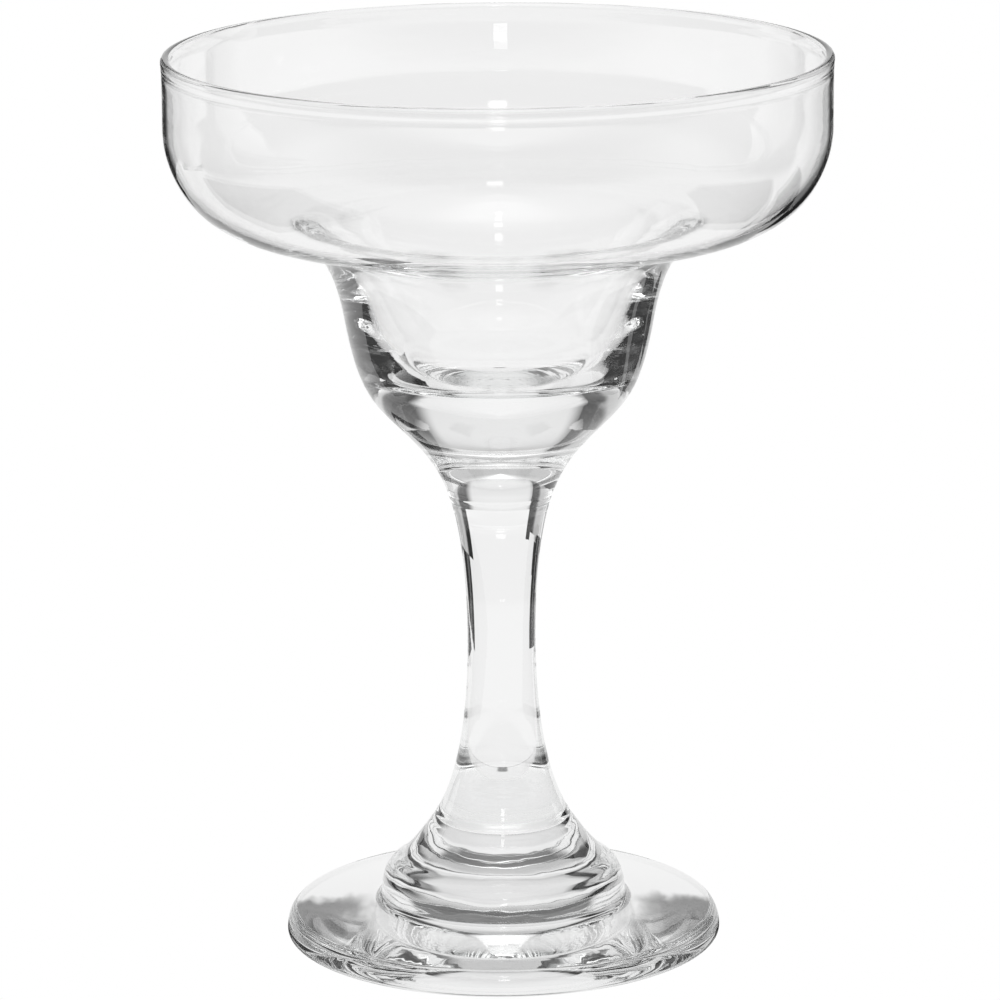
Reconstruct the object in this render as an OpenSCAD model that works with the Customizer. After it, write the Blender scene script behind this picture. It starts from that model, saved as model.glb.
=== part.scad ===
// Margarita glass: a wide bowl with a small well under it, on a waisted solid stem
// and a round foot. The three pieces of glass meet face to face at two round joints,
// where the real glass is fused hot. Every piece is turned about the upright Z axis,
// and the foot stands on z = 0.
//
// An outline is a list of [radius, height] points. A heading is the angle, counted from
// straight outwards, at which an outline travels: 90 is upwards and 180 is inwards.

/* [Foot] */
// Diameter of the foot
foot_diameter = 73.2; // [66:0.2:90]
// Height of the foot, from the table to the joint with the stem
foot_height = 20.5; // [18:0.5:26]
// Height of the disc at its edge
edge_height = 4.28; // [3:0.1:5.5]
// Width of the rounding on top of the edge
edge_round_width = 2; // [1:0.1:3]
// Radius of the rounding under the edge
edge_under_radius = 0.8; // [0.3:0.1:1.2]
// Width of the flat ring that the glass stands on
standing_ring_width = 2.2; // [1:0.1:4]
// Depth of the hollow under the foot
hollow_depth = 1.2; // [0.4:0.1:2.5]
// Diameter of the heel, where the disc turns up into the bell
heel_diameter = 41.06; // [34:0.2:46]
// Width of the fillet between the disc and the heel
heel_fillet_width = 1.5; // [0.8:0.1:3]
// Height of the disc's top where it meets the heel
heel_foot_height = 5.9; // [5.6:0.1:6.4]
// Height at which the heel stands upright
heel_height = 7.4; // [6.8:0.1:8]
// Diameter of the bell at its shoulder
shoulder_diameter = 37.4; // [30:0.2:40]
// Height of the bell's shoulder
shoulder_height = 12.2; // [10:0.1:14]

/* [Stem] */
// Length of the stem between its two joints
stem_length = 54.5; // [40:0.5:80]
// Diameter of the joint between the foot and the stem
foot_joint_diameter = 22.8; // [16:0.2:28]
// Diameter of the stem at its waist
waist_diameter = 11.4; // [8:0.1:15]
// Height of the waist over the foot's joint
waist_height = 30; // [20:0.5:36]
// Diameter of the joint between the stem and the bowl
bowl_joint_diameter = 16.75; // [12.5:0.1:20]

/* [Well] */
// Diameter of the neck, where the solid glass opens out
neck_diameter = 33.26; // [26:0.2:40]
// Height of the neck over the bowl's joint
neck_height = 12.6; // [10:0.1:15]
// Diameter of the well under its flare
well_diameter = 51.08; // [46:0.2:56]
// Height of the well's side over the bowl's joint
well_height = 30.7; // [26:0.2:34]
// Thickness of the well's side
well_wall = 3.9; // [3:0.1:5]
// How far over that place the flare's inside goes over into the well's inside
inner_well_lift = 0.95; // [0:0.05:2]
// Height of the well's floor over the bowl's joint, at the middle
floor_height = 20; // [17:0.1:22]
// Diameter of the well's floor inside its rounded corner
floor_diameter = 31; // [26:0.5:34]
// Rise of the floor from its middle to its corner
floor_rise = 2.1; // [0.5:0.1:3]

/* [Bowl] */
// Height of the bowl, from its joint to the rim
bowl_height = 75; // [68:0.5:90]
// Diameter of the wide wall, outside
bowl_diameter = 109.8; // [96:0.2:124]
// Thickness of the wide wall
bowl_wall = 1; // [0.7:0.1:1.6]
// Diameter at which the flare meets the shelf, outside
shelf_start_diameter = 71; // [64:0.5:76]
// Height of the shelf's start over the joint, outside
shelf_start_height = 45.2; // [43:0.1:48]
// Diameter at which the shelf meets the round shoulder, outside
shelf_end_diameter = 82; // [78:0.5:88]
// Rise of the shelf from its start to its end
shelf_rise = 0.95; // [0.4:0.05:1.6]
// Thickness of the glass in the shelf
shelf_thickness = 1.4; // [1.2:0.1:2.4]
// Height over the joint at which the wide wall stands upright
wall_start_height = 63.2; // [58:0.2:66]
// How far the rim stands out past the wide wall
rim_overhang = 0.1; // [0:0.02:0.3]
// Thickness of the rounded rim
rim_thickness = 1.56; // [1:0.02:2]
// Height over which the rim thins down to the wall
rim_blend = 2.4; // [1.5:0.1:4]

/* [Hidden] */

glass_colour = [0.86, 0.92, 0.93, 0.45];

// Straight pieces in each curve, and in each full turn about the axis
curve_steps = 12;
turn_steps = 96;

upward = 90;
inward = 180;
downward = 270;

// Height of the two joints and of the rim over the table
foot_joint_z = foot_height;
bowl_joint_z = foot_joint_z + stem_length;
glass_height = bowl_joint_z + bowl_height;

// Each pair of shares says how far a curve reaches along its two headings,
// counted in the straight distance between its ends
even_shares = [0.39, 0.39];

disc_heading = 172.7;
bell_heading = 137.2;
foot_joint_heading = 122.5;
shoulder_shares = [0.42, 0.3];
bell_shares = [0.05, 0.8];

stem_foot_shares = [0.268, 0.342];
stem_bowl_shares = [0.044, 0.381];
bowl_joint_heading = 72.3;

neck_heading = 45.5;
well_heading = 80;
shelf_heading = 10;
neck_shares = [0.44, 0.285];
well_shares = [0.312, 0.61];
flare_shares = [0.43, 0.38];
bowl_shoulder_shares = [0.444, 0.305];

inner_well_heading = 252;
inner_shelf_heading = 190;
inner_flare_shares = [0.3, 0.73];
inner_corner_shares = [0.43, 0.2];
floor_heading = 186.5;
floor_shares = [0.33, 0.33];

// Unit vector along a heading
function along(heading) = [cos(heading), sin(heading)];

// Points after a, up to and with b, on the smooth curve with these headings at its ends
function curve(a, b, headings, reach_shares) =
    let (span = norm(b - a))
    let (c = a + span * reach_shares[0] * along(headings[0]))
    let (d = b - span * reach_shares[1] * along(headings[1]))
    [for (i = [1 : curve_steps])
        let (t = i / curve_steps)
        let (u = 1 - t)
        u * u * u * a + 3 * u * u * t * c + 3 * u * t * t * d + t * t * t * b];

// Points on an ellipse about a centre, after the first angle and up to the last
function oval(centre, radii, first, last) =
    [for (i = [1 : curve_steps])
        let (angle = first + (last - first) * i / curve_steps)
        centre + [radii[0] * cos(angle), radii[1] * sin(angle)]];

module turned(outline) {
    color(glass_colour)
        rotate_extrude($fn = turn_steps)
            polygon(outline);
}

// Round foot: a thin disc with a rounded edge, a heel and a bell that draws in to the stem
module foot() {
    edge_r = foot_diameter / 2;
    under = edge_under_radius;
    ring_outer = [edge_r - under, 0];
    ring_inner = [ring_outer[0] - standing_ring_width, 0];
    hollow_top = [0, hollow_depth];
    edge_mid = [edge_r - edge_round_width, under];
    edge_top = [edge_r - edge_round_width, edge_height];
    heel = [heel_diameter / 2, heel_height];
    heel_foot = [heel[0] + heel_fillet_width, heel_foot_height];
    shoulder = [shoulder_diameter / 2, shoulder_height];
    joint = [foot_joint_diameter / 2, foot_joint_z];
    turned(concat(
        [[0, foot_joint_z], hollow_top],
        curve(hollow_top, ring_inner, [0, 0], even_shares),
        [ring_outer],
        oval([ring_outer[0], under], [under, under], -upward, 0),
        oval(edge_mid, edge_top - edge_mid + [edge_round_width, 0], 0, upward),
        [heel_foot],
        curve(heel_foot, heel, [disc_heading, upward], even_shares),
        curve(heel, shoulder, [upward, bell_heading], shoulder_shares),
        curve(shoulder, joint, [bell_heading, foot_joint_heading], bell_shares)
    ));
}

// Solid stem: widest at the foot, narrowest at its waist
module stem() {
    foot_joint = [foot_joint_diameter / 2, foot_joint_z];
    waist = [waist_diameter / 2, foot_joint_z + waist_height];
    bowl_joint = [bowl_joint_diameter / 2, bowl_joint_z];
    turned(concat(
        [[0, bowl_joint_z], [0, foot_joint_z], foot_joint],
        curve(foot_joint, waist, [foot_joint_heading, upward], stem_foot_shares),
        curve(waist, bowl_joint, [upward, bowl_joint_heading], stem_bowl_shares)
    ));
}

// Bowl: a solid neck, a thick small well, a shelf, and a wide thin wall with a rounded rim
module bowl() {
    wall_r = bowl_diameter / 2;
    rim_r = wall_r + rim_overhang;
    rim_round = rim_thickness / 2;
    rim_z = glass_height - rim_round;
    joint = [bowl_joint_diameter / 2, bowl_joint_z];
    neck = [neck_diameter / 2, bowl_joint_z + neck_height];
    well = [well_diameter / 2, bowl_joint_z + well_height];
    shelf_start = [shelf_start_diameter / 2, bowl_joint_z + shelf_start_height];
    shelf_end = [shelf_end_diameter / 2, shelf_start[1] + shelf_rise];
    wall_start = [wall_r, bowl_joint_z + wall_start_height];
    wall_end = [wall_r, rim_z - rim_blend];
    rim_outer = [rim_r, rim_z];
    rim_inner = [rim_r - rim_thickness, rim_z];
    inner_wall_end = wall_end - [bowl_wall, 0];
    inner_wall_start = wall_start - [bowl_wall, 0];
    inner_shelf_end = shelf_end + [0, shelf_thickness];
    inner_shelf_start = shelf_start + [0, shelf_thickness];
    inner_well = well + [-well_wall, inner_well_lift];
    floor_edge = [floor_diameter / 2, bowl_joint_z + floor_height + floor_rise];
    floor_middle = [0, bowl_joint_z + floor_height];
    turned(concat(
        [[0, bowl_joint_z], joint],
        curve(joint, neck, [bowl_joint_heading, neck_heading], neck_shares),
        curve(neck, well, [neck_heading, well_heading], well_shares),
        curve(well, shelf_start, [well_heading, shelf_heading], flare_shares),
        [shelf_end],
        curve(shelf_end, wall_start, [shelf_heading, upward], bowl_shoulder_shares),
        [wall_end],
        curve(wall_end, rim_outer, [upward, upward], even_shares),
        oval([rim_r - rim_round, rim_z], [rim_round, rim_round], 0, inward),
        curve(rim_inner, inner_wall_end, [downward, downward], even_shares),
        [inner_wall_start],
        curve(inner_wall_start, inner_shelf_end, [downward, inner_shelf_heading], bowl_shoulder_shares),
        [inner_shelf_start],
        curve(inner_shelf_start, inner_well, [inner_shelf_heading, inner_well_heading], inner_flare_shares),
        curve(inner_well, floor_edge, [inner_well_heading, floor_heading], inner_corner_shares),
        curve(floor_edge, floor_middle, [floor_heading, inward], floor_shares)
    ));
}

foot();
stem();
bowl();
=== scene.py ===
import math
import bpy
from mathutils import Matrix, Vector


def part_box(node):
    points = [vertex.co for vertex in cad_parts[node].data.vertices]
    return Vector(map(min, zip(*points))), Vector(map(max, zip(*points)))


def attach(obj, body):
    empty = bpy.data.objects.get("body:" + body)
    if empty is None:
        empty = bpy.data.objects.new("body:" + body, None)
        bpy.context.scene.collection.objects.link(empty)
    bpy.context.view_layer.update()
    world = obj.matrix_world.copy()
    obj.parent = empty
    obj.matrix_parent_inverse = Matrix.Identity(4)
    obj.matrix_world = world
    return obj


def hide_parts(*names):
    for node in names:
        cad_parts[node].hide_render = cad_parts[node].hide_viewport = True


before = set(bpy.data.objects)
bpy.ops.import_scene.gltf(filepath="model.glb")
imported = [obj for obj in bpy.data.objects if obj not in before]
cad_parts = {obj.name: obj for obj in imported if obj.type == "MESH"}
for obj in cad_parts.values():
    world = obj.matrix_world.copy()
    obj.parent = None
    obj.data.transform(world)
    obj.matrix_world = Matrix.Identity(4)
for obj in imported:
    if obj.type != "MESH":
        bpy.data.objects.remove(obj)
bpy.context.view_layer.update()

mm = 0.001
scene = bpy.context.scene
scene.view_settings.view_transform = "Standard"

# Places that the CAD model gives: the two joints, the rim and the foot
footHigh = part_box("foot")[1]
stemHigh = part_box("stem")[1]
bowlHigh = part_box("bowl")[1]
footJointZ = footHigh[2] / mm
bowlJointZ = stemHigh[2] / mm
rimZ = bowlHigh[2] / mm
footRadius = footHigh[0] / mm
rimRadius = bowlHigh[0] / mm
footJointRadius = stemHigh[0] / mm

# Outlines: points are (radius, height) in mm, and a heading of 90 goes up, 180 inwards

outward, upward, inward, downward = 0, 90, 180, 270
footJointHeading = 122.5
bowlJointHeading = 72.3
evenReach = (0.39, 0.39)


def along(heading):
    return Vector((math.cos(math.radians(heading)), math.sin(math.radians(heading))))


def curveTo(outline, end, leaving, arriving, reach, steps):
    # a smooth cubic curve from the outline's last point
    a, b = outline[-1], Vector(end)
    span = (b - a).length
    c = a + along(leaving) * span * reach[0]
    d = b - along(arriving) * span * reach[1]
    for i in range(1, steps + 1):
        t = i / steps
        u = 1 - t
        outline.append(a * u ** 3 + c * 3 * u * u * t + d * 3 * u * t * t + b * t ** 3)


def ovalTo(outline, centre, radii, first, last, steps):
    for i in range(1, steps + 1):
        angle = math.radians(first + (last - first) * i / steps)
        radius = centre[0] + radii[0] * math.cos(angle)
        height = centre[1] + radii[1] * math.sin(angle)
        outline.append(Vector((radius, height)))


def lineTo(outline, end, steps=1):
    start = outline[-1]
    for i in range(1, steps + 1):
        outline.append(start.lerp(Vector(end), i / steps))


weldLook = {
    "depth": 0.05,
    "spacing": 1.7,
    "reach": 1.5,
    "span": 3,
    "axisGap": 1,
}


def weldRings(outline, jointHeight):
    # the fused joint leaves fine rings on the glass just over and under it
    for place in outline:
        off = place.y - jointHeight
        if place.x > weldLook["axisGap"] and abs(off) < weldLook["span"]:
            fade = math.exp(-(off / weldLook["reach"]) ** 2)
            place.x += weldLook["depth"] * math.sin(math.tau * off / weldLook["spacing"]) * fade


# Modelling

spinLook = {
    "turnSteps": 192,
    "mergeGap": 0.002,
    "creaseAngle": 35,
}


def spinPiece(name, outline):
    # one vertex is drawn out along the outline, then spun about the axis of the glass
    bpy.ops.object.select_all(action="DESELECT")
    place = (outline[0].x * mm, 0, outline[0].y * mm)
    bpy.ops.mesh.primitive_plane_add(size=mm, location=place, enter_editmode=True)
    bpy.ops.mesh.merge(type="CENTER")
    for last, point in zip(outline, outline[1:]):
        step = (point - last) * mm
        bpy.ops.mesh.extrude_region_move(TRANSFORM_OT_translate={"value": (step.x, 0, step.y)})
    bpy.ops.mesh.select_all(action="SELECT")
    bpy.ops.mesh.spin(steps=spinLook["turnSteps"], angle=math.tau, center=(0, 0, 0), axis=(0, 0, 1))
    bpy.ops.mesh.select_all(action="SELECT")
    bpy.ops.mesh.remove_doubles(threshold=spinLook["mergeGap"] * mm)
    bpy.ops.mesh.normals_make_consistent(inside=False)
    bpy.ops.object.mode_set(mode="OBJECT")
    bpy.ops.object.transform_apply(location=True, rotation=True, scale=True)
    bpy.ops.object.shade_smooth_by_angle(angle=math.radians(spinLook["creaseAngle"]))
    piece = bpy.context.object
    piece.name = name
    piece.data.name = name
    return piece


def rise(value, low, high):
    # 0 at low, 1 at high, with soft ends
    share = min(max((value - low) / (high - low), 0), 1)
    return share * share * (3 - 2 * share)


waveLook = {
    "noiseDepth": 2,
    "middle": 0.5,
}


def addWaves(piece, sizes, waveShare):
    # pressed glass is never quite even: waveShare(radius, height) is how much of the depth each point takes
    group = piece.vertex_groups.new(name="waves")
    for vertex in piece.data.vertices:
        place = vertex.co / mm
        group.add([vertex.index], waveShare(math.hypot(place.x, place.y), place.z), "REPLACE")
    waves = bpy.data.textures.new("waves", "CLOUDS")
    waves.noise_scale = sizes["waveLength"] * mm
    waves.noise_depth = waveLook["noiseDepth"]
    bpy.ops.object.empty_add(location=(0, 0, 0))
    grain = bpy.context.object
    grain.scale = (1, 1, sizes["waveSquash"])
    bpy.context.view_layer.update()
    bpy.ops.object.select_all(action="DESELECT")
    piece.select_set(True)
    bpy.context.view_layer.objects.active = piece
    bpy.ops.object.modifier_add(type="DISPLACE")
    displace = piece.modifiers[-1]
    displace.texture = waves
    displace.texture_coords = "OBJECT"
    displace.texture_coords_object = grain
    displace.vertex_group = "waves"
    displace.strength = sizes["waveDepth"] * mm
    displace.mid_level = waveLook["middle"]
    bpy.ops.object.modifier_apply(modifier=displace.name)
    piece.vertex_groups.clear()
    bpy.ops.object.select_all(action="DESELECT")
    grain.select_set(True)
    bpy.ops.object.delete()


jointFace = {
    "flatness": 0.999,
    "nearness": 0.02,
}


def finishPiece(piece, node, jointHeights):
    # the flat faces where the glass is fused to the next piece take the clear joint material
    piece.data.materials.append(glassMaterial)
    piece.data.materials.append(jointMaterial)
    near = jointFace["nearness"] * mm
    for face in piece.data.polygons:
        flat = abs(face.normal.z) > jointFace["flatness"]
        if flat and any(abs(face.center.z - height * mm) < near for height in jointHeights):
            face.material_index = 1
    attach(piece, "root")
    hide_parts(node)
    print("made", node, len(piece.data.polygons), "faces")


# Materials

glassLook = {
    "ior": 1.52,
    "absorption": 1.0,
    "tint": (0.0, 0.05, 0.04),
    "roughness": 0.008,
    "hazeScale": 35,
    "hazeDetail": 5,
    "hazeStart": 0.45,
    "hazeFull": 0.8,
    "rippleScale": 70,
    "rippleDetail": 3,
    "rippleStretch": 5,
    "rippleDepth": 0.00001,
}


def addAbsorption(nodes, links):
    absorb = nodes.new("ShaderNodeVolumeAbsorption")
    absorb.inputs["Color"].default_value = (*glassLook["tint"], 1)
    absorb.inputs["Density"].default_value = glassLook["absorption"]
    links.new(absorb.outputs["Volume"], nodes["Material Output"].inputs["Volume"])


def makeGlass():
    material = bpy.data.materials.new("clearGlass")
    material.use_nodes = True
    nodes, links = material.node_tree.nodes, material.node_tree.links
    shader = nodes["Principled BSDF"]
    shader.inputs["Base Color"].default_value = (1, 1, 1, 1)
    shader.inputs["IOR"].default_value = glassLook["ior"]
    shader.inputs["Transmission Weight"].default_value = 1
    # a very faint haze in patches, from wear and washing
    place = nodes.new("ShaderNodeTexCoord")
    haze = nodes.new("ShaderNodeTexNoise")
    haze.inputs["Scale"].default_value = glassLook["hazeScale"]
    haze.inputs["Detail"].default_value = glassLook["hazeDetail"]
    links.new(place.outputs["Object"], haze.inputs["Vector"])
    polish = nodes.new("ShaderNodeMapRange")
    polish.inputs["From Min"].default_value = glassLook["hazeStart"]
    polish.inputs["From Max"].default_value = glassLook["hazeFull"]
    polish.inputs["To Max"].default_value = glassLook["roughness"]
    links.new(haze.outputs[0], polish.inputs["Value"])
    links.new(polish.outputs[0], shader.inputs["Roughness"])
    # long, low ripples lie round the glass, as the mould and the fire leave them
    stretch = nodes.new("ShaderNodeMapping")
    stretch.inputs["Scale"].default_value = (1, 1, glassLook["rippleStretch"])
    links.new(place.outputs["Object"], stretch.inputs["Vector"])
    ripple = nodes.new("ShaderNodeTexNoise")
    ripple.inputs["Scale"].default_value = glassLook["rippleScale"]
    ripple.inputs["Detail"].default_value = glassLook["rippleDetail"]
    links.new(stretch.outputs["Vector"], ripple.inputs["Vector"])
    bump = nodes.new("ShaderNodeBump")
    bump.inputs["Strength"].default_value = 1
    bump.inputs["Distance"].default_value = glassLook["rippleDepth"]
    links.new(ripple.outputs[0], bump.inputs["Height"])
    links.new(bump.outputs["Normal"], shader.inputs["Normal"])
    addAbsorption(nodes, links)
    return material


def makeJoint():
    # fused glass has no surface at the joint, so nothing is bent or reflected there
    material = bpy.data.materials.new("fusedJoint")
    material.use_nodes = True
    nodes, links = material.node_tree.nodes, material.node_tree.links
    nodes["Principled BSDF"].inputs["Alpha"].default_value = 0
    addAbsorption(nodes, links)
    return material


glassMaterial = makeGlass()
jointMaterial = makeJoint()
print("materials made")


# Foot: disc, heel and bell

footSizes = {
    "edgeHeight": 4.28,
    "edgeRound": 2.0,
    "underRadius": 0.8,
    "ringWidth": 2.2,
    "hollowDepth": 1.2,
    "heelRadius": 20.53,
    "heelFillet": 1.5,
    "heelFootHeight": 5.9,
    "heelHeight": 7.4,
    "shoulder": (18.7, 12.2),
    "discHeading": 172.7,
    "bellHeading": 137.2,
    "shoulderReach": (0.42, 0.3),
    "bellReach": (0.05, 0.8),
    "waveDepth": 0.1,
    "waveLength": 7,
    "waveSquash": 0.4,
    "waveFrom": (6.5, 9),
    "waveTo": (20, 17.5),
}


def footWaveShare(radius, height):
    # the bell takes the waves all round, and the disc and the joint stay even
    return rise(height, *footSizes["waveFrom"]) * rise(height, *footSizes["waveTo"])


def makeFoot():
    s = footSizes
    under = s["underRadius"]
    ringOuter = footRadius - under
    edgeMid = (footRadius - s["edgeRound"], under)
    edgeRadii = (s["edgeRound"], s["edgeHeight"] - under)
    outline = [Vector((0, footJointZ))]
    lineTo(outline, (0, s["hollowDepth"]))
    curveTo(outline, (ringOuter - s["ringWidth"], 0), outward, outward, evenReach, steps=24)
    lineTo(outline, (ringOuter, 0), steps=3)
    ovalTo(outline, (ringOuter, under), (under, under), -upward, outward, steps=8)
    ovalTo(outline, edgeMid, edgeRadii, outward, upward, steps=20)
    lineTo(outline, (s["heelRadius"] + s["heelFillet"], s["heelFootHeight"]), steps=10)
    curveTo(outline, (s["heelRadius"], s["heelHeight"]), s["discHeading"], upward, evenReach, steps=10)
    curveTo(outline, s["shoulder"], upward, s["bellHeading"], s["shoulderReach"], steps=14)
    joint = (footJointRadius, footJointZ)
    curveTo(outline, joint, s["bellHeading"], footJointHeading, s["bellReach"], steps=48)
    weldRings(outline, footJointZ)
    lineTo(outline, (0, footJointZ), steps=6)
    foot = spinPiece("glassFoot", outline)
    addWaves(foot, s, footWaveShare)
    finishPiece(foot, "foot", [footJointZ])


# Stem: solid and waisted

stemSizes = {
    "waistRadius": 5.7,
    "waistHeight": 30.0,
    "bowlJointRadius": 8.375,
    "footReach": (0.268, 0.342),
    "bowlReach": (0.044, 0.381),
}


def makeStem():
    s = stemSizes
    waist = (s["waistRadius"], footJointZ + s["waistHeight"])
    outline = [Vector((0, footJointZ))]
    lineTo(outline, (footJointRadius, footJointZ), steps=6)
    curveTo(outline, waist, footJointHeading, upward, s["footReach"], steps=72)
    curveTo(outline, (s["bowlJointRadius"], bowlJointZ), upward, bowlJointHeading, s["bowlReach"], steps=72)
    weldRings(outline, footJointZ)
    weldRings(outline, bowlJointZ)
    lineTo(outline, (0, bowlJointZ), steps=5)
    stem = spinPiece("glassStem", outline)
    finishPiece(stem, "stem", [footJointZ, bowlJointZ])


# Bowl: neck, well, shelf, wide wall and rim. Its heights are counted from the joint, and those of
# its waves from the table

bowlSizes = {
    "neck": (16.63, 12.6),
    "well": (25.54, 30.7),
    "innerWell": (21.64, 31.65),
    "floorHeight": 20.0,
    "floorRadius": 15.5,
    "floorRise": 2.1,
    "wallRadius": 54.9,
    "wall": 1.0,
    "shelfStart": (35.5, 45.2),
    "shelfEnd": (41.0, 46.15),
    "shelf": 1.4,
    "wallStart": 63.2,
    "rim": 1.56,
    "rimBlend": 2.4,
    "neckHeading": 45.5,
    "wellHeading": 80,
    "shelfHeading": 10,
    "innerShelfHeading": 190,
    "innerWellHeading": 252,
    "floorHeading": 186.5,
    "neckReach": (0.44, 0.285),
    "wellReach": (0.312, 0.61),
    "flareReach": (0.43, 0.38),
    "shoulderReach": (0.444, 0.305),
    "innerFlareReach": (0.3, 0.73),
    "innerCornerReach": (0.43, 0.2),
    "floorReach": (0.33, 0.33),
    "waveDepth": 0.03,
    "waveLength": 9,
    "waveSquash": 0.3,
    "wellWaveFrom": (94, 95),
    "wellWaveTo": (116, 108),
    "wellWaveWithin": (24.5, 22),
    "wallWaveShare": 0.5,
    "wallWaveFrom": (118, 121),
    "wallWaveTo": (146, 142),
}


def bowlWaveShare(radius, height):
    # the inside of the well takes the waves, and the shoulder and the wide wall take half of them
    s = bowlSizes
    inWell = rise(height, *s["wellWaveFrom"]) * rise(radius, *s["wellWaveWithin"])
    inWell *= rise(height, *s["wellWaveTo"])
    onWall = rise(height, *s["wallWaveFrom"]) * rise(height, *s["wallWaveTo"])
    return max(inWell, s["wallWaveShare"] * onWall)


def overJoint(point):
    return Vector((point[0], bowlJointZ + point[1]))


def makeBowl():
    s = bowlSizes
    rimRound = s["rim"] / 2
    rimMid = (rimRadius - rimRound, rimZ - rimRound)
    wallEnd = Vector((s["wallRadius"], rimMid[1] - s["rimBlend"]))
    wallStart = overJoint((s["wallRadius"], s["wallStart"]))
    wall = Vector((s["wall"], 0))
    shelf = Vector((0, s["shelf"]))
    shelfStart, shelfEnd = overJoint(s["shelfStart"]), overJoint(s["shelfEnd"])
    floorEdge = overJoint((s["floorRadius"], s["floorHeight"] + s["floorRise"]))
    floorMiddle = overJoint((0, s["floorHeight"]))
    innerShoulderReach = s["shoulderReach"][::-1]
    outline = [Vector((0, bowlJointZ))]
    lineTo(outline, (stemSizes["bowlJointRadius"], bowlJointZ), steps=5)
    curveTo(outline, overJoint(s["neck"]), bowlJointHeading, s["neckHeading"], s["neckReach"], steps=48)
    weldRings(outline, bowlJointZ)
    curveTo(outline, overJoint(s["well"]), s["neckHeading"], s["wellHeading"], s["wellReach"], steps=20)
    curveTo(outline, shelfStart, s["wellHeading"], s["shelfHeading"], s["flareReach"], steps=20)
    lineTo(outline, shelfEnd, steps=4)
    curveTo(outline, wallStart, s["shelfHeading"], upward, s["shoulderReach"], steps=28)
    lineTo(outline, wallEnd, steps=12)
    curveTo(outline, (rimRadius, rimMid[1]), upward, upward, evenReach, steps=10)
    ovalTo(outline, rimMid, (rimRound, rimRound), outward, inward, steps=20)
    curveTo(outline, wallEnd - wall, downward, downward, evenReach, steps=10)
    lineTo(outline, wallStart - wall, steps=12)
    curveTo(outline, shelfEnd + shelf, downward, s["innerShelfHeading"], innerShoulderReach, steps=28)
    lineTo(outline, shelfStart + shelf, steps=4)
    curveTo(outline, overJoint(s["innerWell"]), s["innerShelfHeading"], s["innerWellHeading"],
            s["innerFlareReach"], steps=20)
    curveTo(outline, floorEdge, s["innerWellHeading"], s["floorHeading"], s["innerCornerReach"], steps=24)
    curveTo(outline, floorMiddle, s["floorHeading"], inward, s["floorReach"], steps=16)
    bowl = spinPiece("glassBowl", outline)
    addWaves(bowl, s, bowlWaveShare)
    finishPiece(bowl, "bowl", [bowlJointZ])


makeFoot()
makeStem()
makeBowl()


# Camera

cameraSet = {
    "back": 0.850,
    "height": 0.2861,
    "tilt": 13.965,
    "lens": 189.35,
    "sensor": 36.0,
    "roll": -0.41,
    "shift": -0.00057,
    "clipStart": 0.01,
}


def makeCamera():
    data = bpy.data.cameras.new("camera")
    data.lens = cameraSet["lens"]
    data.sensor_width = cameraSet["sensor"]
    data.shift_x = cameraSet["shift"]
    data.clip_start = cameraSet["clipStart"]
    camera = bpy.data.objects.new("camera", data)
    camera.location = (0, -cameraSet["back"], cameraSet["height"])
    camera.rotation_euler = (math.radians(90 - cameraSet["tilt"]), 0, 0)
    camera.rotation_euler.rotate_axis("Z", math.radians(cameraSet["roll"]))
    scene.collection.objects.link(camera)
    scene.camera = camera


# Nodes that the floor, the cards and the room share

def mathNode(tree, operation, *values):
    node = tree.nodes.new("ShaderNodeMath")
    node.operation = operation
    for socket, value in zip(node.inputs, values):
        if isinstance(value, (int, float)):
            socket.default_value = value
        else:
            tree.links.new(value, socket)
    return node.outputs[0]


def smooth(tree, value, ends, fromLow=0, fromHigh=1):
    # fromLow to fromHigh as value goes from the first to the second of the ends, with soft ends
    node = tree.nodes.new("ShaderNodeMapRange")
    node.interpolation_type = "SMOOTHSTEP"
    tree.links.new(value, node.inputs["Value"])
    sockets = ("From Min", "From Max", "To Min", "To Max")
    for name, number in zip(sockets, (*ends, fromLow, fromHigh)):
        node.inputs[name].default_value = number
    return node.outputs[0]


def coordinates(tree, kind):
    place = tree.nodes.new("ShaderNodeTexCoord")
    axes = tree.nodes.new("ShaderNodeSeparateXYZ")
    tree.links.new(place.outputs[kind], axes.inputs[0])
    return place.outputs[kind], axes.outputs


def glowMaterial(name, level):
    material = bpy.data.materials.new(name)
    material.use_nodes = True
    tree = material.node_tree
    tree.nodes.clear()
    out = tree.nodes.new("ShaderNodeOutputMaterial")
    glow = tree.nodes.new("ShaderNodeEmission")
    glow.inputs["Color"].default_value = (1, 1, 1, 1)
    glow.inputs["Strength"].default_value = level
    tree.links.new(glow.outputs[0], out.inputs["Surface"])
    return material


# Floor: a white sheet that ends in the dark of the room, in front of the glass

floorLook = {
    "radius": 2.6,
    "level": 0.92,
    "frontLevel": 0.12,
    "frontFade": (0.3, 0.8),
    "paper": 0.9,
    "drop": 0.0004,
}

# painted shade on the sheet, in place of the glass's own shadow. Each pair says, in metres, where one of
# its edges begins and ends
paintedShadeLook = {
    "shadeNoiseScale": 300,
    "shadeNoiseDetail": 2,
    "shadeNoiseStretch": (1, 0.4, 1),
    "shadeNoiseMiddle": 0.5,
    "ragged": 0.009,
    "inner": (0.019, 0.027),
    "outer": (0.046, 0.040),
    "back": (0.0085, 0.0035),
    "front": (-0.03, -0.012),
    "spotNear": (0.0325, 0.034),
    "spotFar": (0.04, 0.0385),
    "spotHalf": (0.003, 0.0015),
    "spotLevel": 0.8,
}


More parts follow.
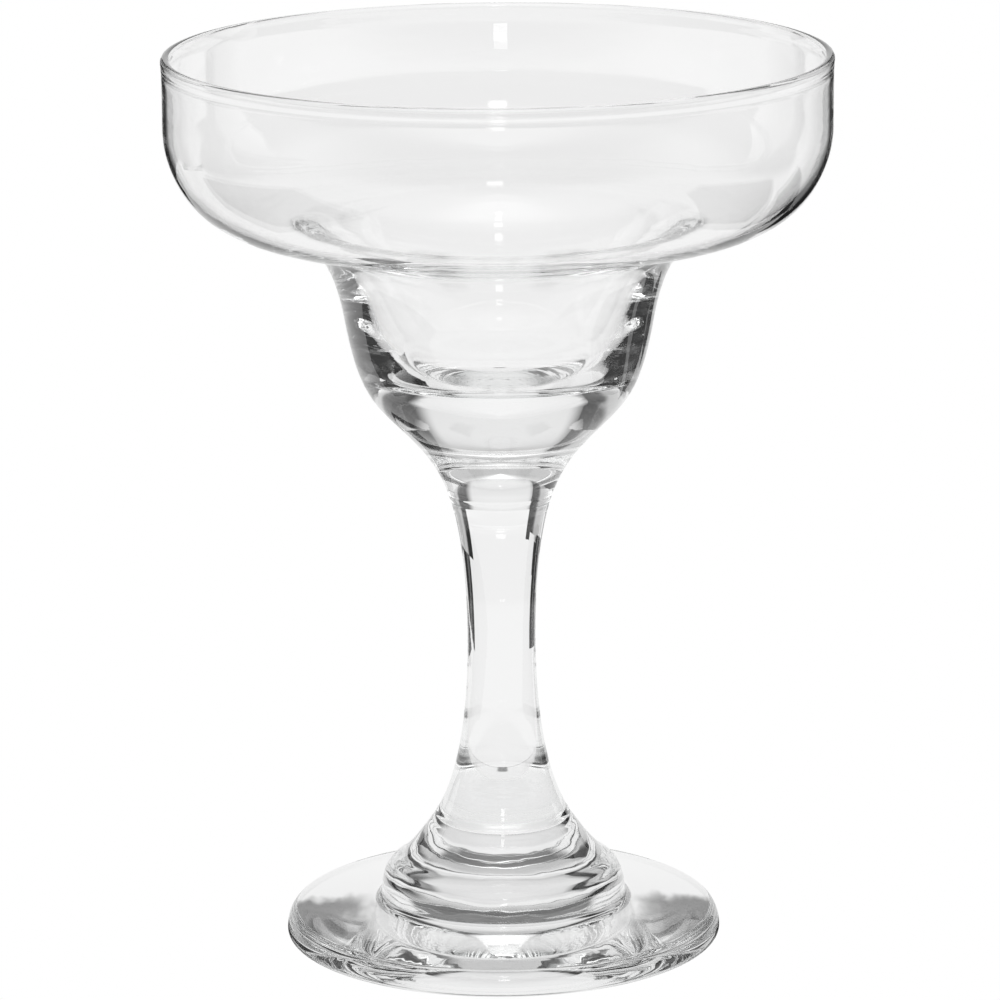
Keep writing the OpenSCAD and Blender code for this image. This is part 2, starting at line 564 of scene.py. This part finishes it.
def paintedFootShade(tree, place, axes):
    # painted shade: a ragged dark patch on the sheet under both sides of the foot
    s = paintedShadeLook
    streaks = tree.nodes.new("ShaderNodeMapping")
    streaks.inputs["Scale"].default_value = s["shadeNoiseStretch"]
    tree.links.new(place, streaks.inputs["Vector"])
    grain = tree.nodes.new("ShaderNodeTexNoise")
    grain.inputs["Scale"].default_value = s["shadeNoiseScale"]
    grain.inputs["Detail"].default_value = s["shadeNoiseDetail"]
    tree.links.new(streaks.outputs["Vector"], grain.inputs["Vector"])
    ragged = mathNode(tree, "SUBTRACT", grain.outputs[0], s["shadeNoiseMiddle"])
    ragged = mathNode(tree, "MULTIPLY", ragged, s["ragged"])
    off = mathNode(tree, "ABSOLUTE", axes["X"])
    away = mathNode(tree, "ADD", off, ragged)
    behind = mathNode(tree, "ADD", axes["Y"], ragged)
    shade = mathNode(tree, "MULTIPLY", smooth(tree, away, s["inner"]), smooth(tree, behind, s["back"]))
    shade = mathNode(tree, "MULTIPLY", shade, smooth(tree, axes["Y"], s["front"]))
    shade = mathNode(tree, "MULTIPLY", shade, smooth(tree, away, s["outer"]))
    # and a narrow spot of painted shade right behind the foot's edge
    near, far = smooth(tree, axes["Y"], s["spotNear"]), smooth(tree, axes["Y"], s["spotFar"])
    spot = mathNode(tree, "MULTIPLY", near, far)
    spot = mathNode(tree, "MULTIPLY", spot, smooth(tree, off, s["spotHalf"], 0, s["spotLevel"]))
    return mathNode(tree, "MAXIMUM", shade, spot)


def makeFloor():
    s = floorLook
    bpy.ops.object.select_all(action="DESELECT")
    bpy.ops.mesh.primitive_circle_add(vertices=96, radius=s["radius"], fill_type="NGON",
                                      location=(0, 0, -s["drop"]))
    floor = bpy.context.object
    floor.name = "floor"
    material = glowMaterial("whiteSheet", s["level"])
    tree = material.node_tree
    out, glow = tree.nodes["Material Output"], tree.nodes["Emission"]
    place, axes = coordinates(tree, "Object")
    shade = paintedFootShade(tree, place, axes)
    front = mathNode(tree, "MULTIPLY", axes["Y"], -1)
    sheet = smooth(tree, front, s["frontFade"], s["level"], s["frontLevel"])
    lit = mathNode(tree, "MULTIPLY", sheet, mathNode(tree, "SUBTRACT", 1, shade))
    # the camera sees plain white, and so does the glass but for the painted shade and the dark in front
    path = tree.nodes.new("ShaderNodeLightPath")
    level = mathNode(tree, "MAXIMUM", path.outputs["Is Camera Ray"], lit)
    tree.links.new(level, glow.inputs["Strength"])
    paper = tree.nodes.new("ShaderNodeBsdfDiffuse")
    paper.inputs["Color"].default_value = (s["paper"], s["paper"], s["paper"], 1)
    direct = mathNode(tree, "MAXIMUM", path.outputs["Is Camera Ray"], path.outputs["Is Glossy Ray"])
    direct = mathNode(tree, "MAXIMUM", direct, path.outputs["Is Transmission Ray"])
    blend = tree.nodes.new("ShaderNodeMixShader")
    tree.links.new(direct, blend.inputs[0])
    tree.links.new(paper.outputs[0], blend.inputs[1])
    tree.links.new(glow.outputs[0], blend.inputs[2])
    tree.links.new(blend.outputs[0], out.inputs["Surface"])
    floor.data.materials.append(material)


# Cards: dark sheets beside and behind the glass, and one lamp in front of it.
# Each is its name, its brightness, whether it fades to grey, and its corners in metres

cardList = [
    ("wallCardRight", 0.03, True,
     [(0.078, 0.12, 0.3), (0.078, 0.12, 0.05), (0.32, 0.12, 0.07), (0.32, 0.12, 0.3)]),
    ("wallCardLeft", 0.03, True,
     [(-0.095, 0.2, 0.3), (-0.095, 0.2, 0.058), (-0.12, 0.2, 0.058), (-0.12, 0.2, 0.067),
      (-0.2, 0.2, 0.067), (-0.28, 0.2, 0.03), (-0.5, 0.2, 0.03), (-0.5, 0.2, 0.3)]),
    ("stemCardRight", 0.03, False,
     [(0.106, 0.121, 0), (0.226, 0.121, 0), (0.226, 0.121, 0.07), (0.106, 0.121, 0.07)]),
    ("stemCardLeft", 0.03, False,
     [(-0.026, 0.032, 0.037), (-0.026, 0.032, 0.069), (-0.036, 0.019, 0.069), (-0.036, 0.019, 0.037)]),
    ("stemCardLeftFar", 0.05, False,
     [(-0.315, 0.33, 0), (-1.55, 1.7, 0), (-2.05, 1.1, 0), (-0.405, 0.216, 0)]),
    ("sideCardRight", 0.05, False,
     [(0.13, 0.1, 0), (0.13, 0, 0), (0.26, -0.12, 0), (0.34, -0.12, 0), (0.34, 0.1, 0)]),
    ("lampMiddle", 2.5, False,
     [(-0.045, -0.68, 0), (0.015, -0.68, 0), (0.02, -0.78, 0), (-0.05, -0.78, 0)]),
    ("sideCardLeft", 0.05, False,
     [(-0.13, -0.12, 0), (-0.13, 0.04, 0), (-0.2, 0.11, 0), (-0.34, 0.2, 0), (-0.34, -0.12, 0)]),
]

# a card that fades is dark along its inner edge, then grey, and brighter outwards
cardLook = {
    "toGrey": (0.375, 0.525),
    "toBright": (0.525, 2.04),
    "grey": 0.5,
    "brighter": 0.45,
    "drop": 0.0002,
}


def makeCard(name, level, fades, corners):
    # only reflected and refracted rays meet a card. A corner of no height lies just over the sheet
    mesh = bpy.data.meshes.new(name)
    places = [Vector((x, y, z or -cardLook["drop"])) for x, y, z in corners]
    mesh.from_pydata(places, [], [list(range(len(places)))])
    card = bpy.data.objects.new(name, mesh)
    scene.collection.objects.link(card)
    material = glowMaterial(name, level)
    if fades:
        tree = material.node_tree
        axes = coordinates(tree, "Object")[1]
        off = mathNode(tree, "SUBTRACT", mathNode(tree, "ABSOLUTE", axes["X"]), rimRadius * mm)
        lean = mathNode(tree, "DIVIDE", off, axes["Y"])
        grey = smooth(tree, lean, cardLook["toGrey"], level, cardLook["grey"])
        bright = smooth(tree, lean, cardLook["toBright"], 0, cardLook["brighter"])
        tree.links.new(mathNode(tree, "ADD", grey, bright), tree.nodes["Emission"].inputs["Strength"])
    mesh.materials.append(material)
    card.visible_camera = False
    card.visible_diffuse = False
    card.visible_shadow = False


# Room: a white backdrop behind the glass, dark sides, a soft light overhead and two lamps above the
# camera. Its angles are degrees, up from the horizon or round from straight behind the glass

roomLook = {
    "backdropLevel": 0.92,
    "backdropHighLevel": 0.8,
    "backdropPales": (6, 18),
    "backdropHalf": 44,
    "backdropHighHalf": 27,
    "backdropNarrows": (6, 12),
    "backdropEdge": (-5, 5),
    "sideLevel": 0.05,
    "windowLevel": 0.9,
    "windowTurn": -90,
    "windowHalf": (8, 12),
    "windowHeight": (2, 5),
    "overheadLevel": 0.56,
    "softBoxLevel": 1.5,
    "softBoxTurn": (100, 165),
    "overheadClimb": (28, 48),
    "lampLevel": 5,
    "lampHeights": (31, 50),
    "lampTurn": (175.5, 178),
    "lampHalf": (2, 4),
}


def makeRoom():
    s = roomLook
    world = bpy.data.worlds.new("room")
    scene.world = world
    world.use_nodes = True
    tree = world.node_tree
    tree.nodes.clear()
    out = tree.nodes.new("ShaderNodeOutputWorld")
    background = tree.nodes.new("ShaderNodeBackground")
    background.inputs["Color"].default_value = (1, 1, 1, 1)
    axes = coordinates(tree, "Generated")[1]
    side = mathNode(tree, "DEGREES", mathNode(tree, "ARCTAN2", axes["X"], axes["Y"]))
    turn = mathNode(tree, "ABSOLUTE", side)
    climb = mathNode(tree, "DEGREES", mathNode(tree, "ARCSINE", axes["Z"]))
    half = smooth(tree, climb, s["backdropNarrows"], s["backdropHalf"], s["backdropHighHalf"])
    behind = smooth(tree, climb, s["backdropPales"], s["backdropLevel"], s["backdropHighLevel"])
    beyond = mathNode(tree, "SUBTRACT", turn, half)
    behind = mathNode(tree, "MULTIPLY", behind, smooth(tree, beyond, s["backdropEdge"], 1, 0))
    low = mathNode(tree, "MAXIMUM", behind, s["sideLevel"])
    # a white window at the left side, near the horizon
    offWindow = mathNode(tree, "ABSOLUTE", mathNode(tree, "SUBTRACT", side, s["windowTurn"]))
    window = smooth(tree, offWindow, s["windowHalf"], 1, 0)
    window = mathNode(tree, "MULTIPLY", window, smooth(tree, climb, s["windowHeight"], s["windowLevel"], 0))
    low = mathNode(tree, "MAXIMUM", low, window)
    overhead = smooth(tree, turn, s["softBoxTurn"], s["overheadLevel"], s["softBoxLevel"])
    lift = smooth(tree, climb, s["overheadClimb"])
    level = mathNode(tree, "ADD", mathNode(tree, "MULTIPLY", overhead, lift),
                     mathNode(tree, "MULTIPLY", low, mathNode(tree, "SUBTRACT", 1, lift)))
    for height in s["lampHeights"]:
        off = mathNode(tree, "ABSOLUTE", mathNode(tree, "SUBTRACT", climb, height))
        lamp = smooth(tree, off, s["lampHalf"], s["lampLevel"], 0)
        lamp = mathNode(tree, "MULTIPLY", lamp, smooth(tree, turn, s["lampTurn"]))
        level = mathNode(tree, "MAXIMUM", lamp, level)
    # the camera itself sees plain white
    path = tree.nodes.new("ShaderNodeLightPath")
    level = mathNode(tree, "MAXIMUM", path.outputs["Is Camera Ray"], level)
    tree.links.new(level, background.inputs["Strength"])
    tree.links.new(background.outputs[0], out.inputs["Surface"])


makeCamera()
makeFloor()
for card in cardList:
    makeCard(*card)
makeRoom()

# light that is caught in the glass turns back and forth many times before it leaves
lightTurns = 48
scene.cycles.max_bounces = lightTurns
scene.cycles.glossy_bounces = lightTurns
scene.cycles.transmission_bounces = lightTurns
print("studio ready")
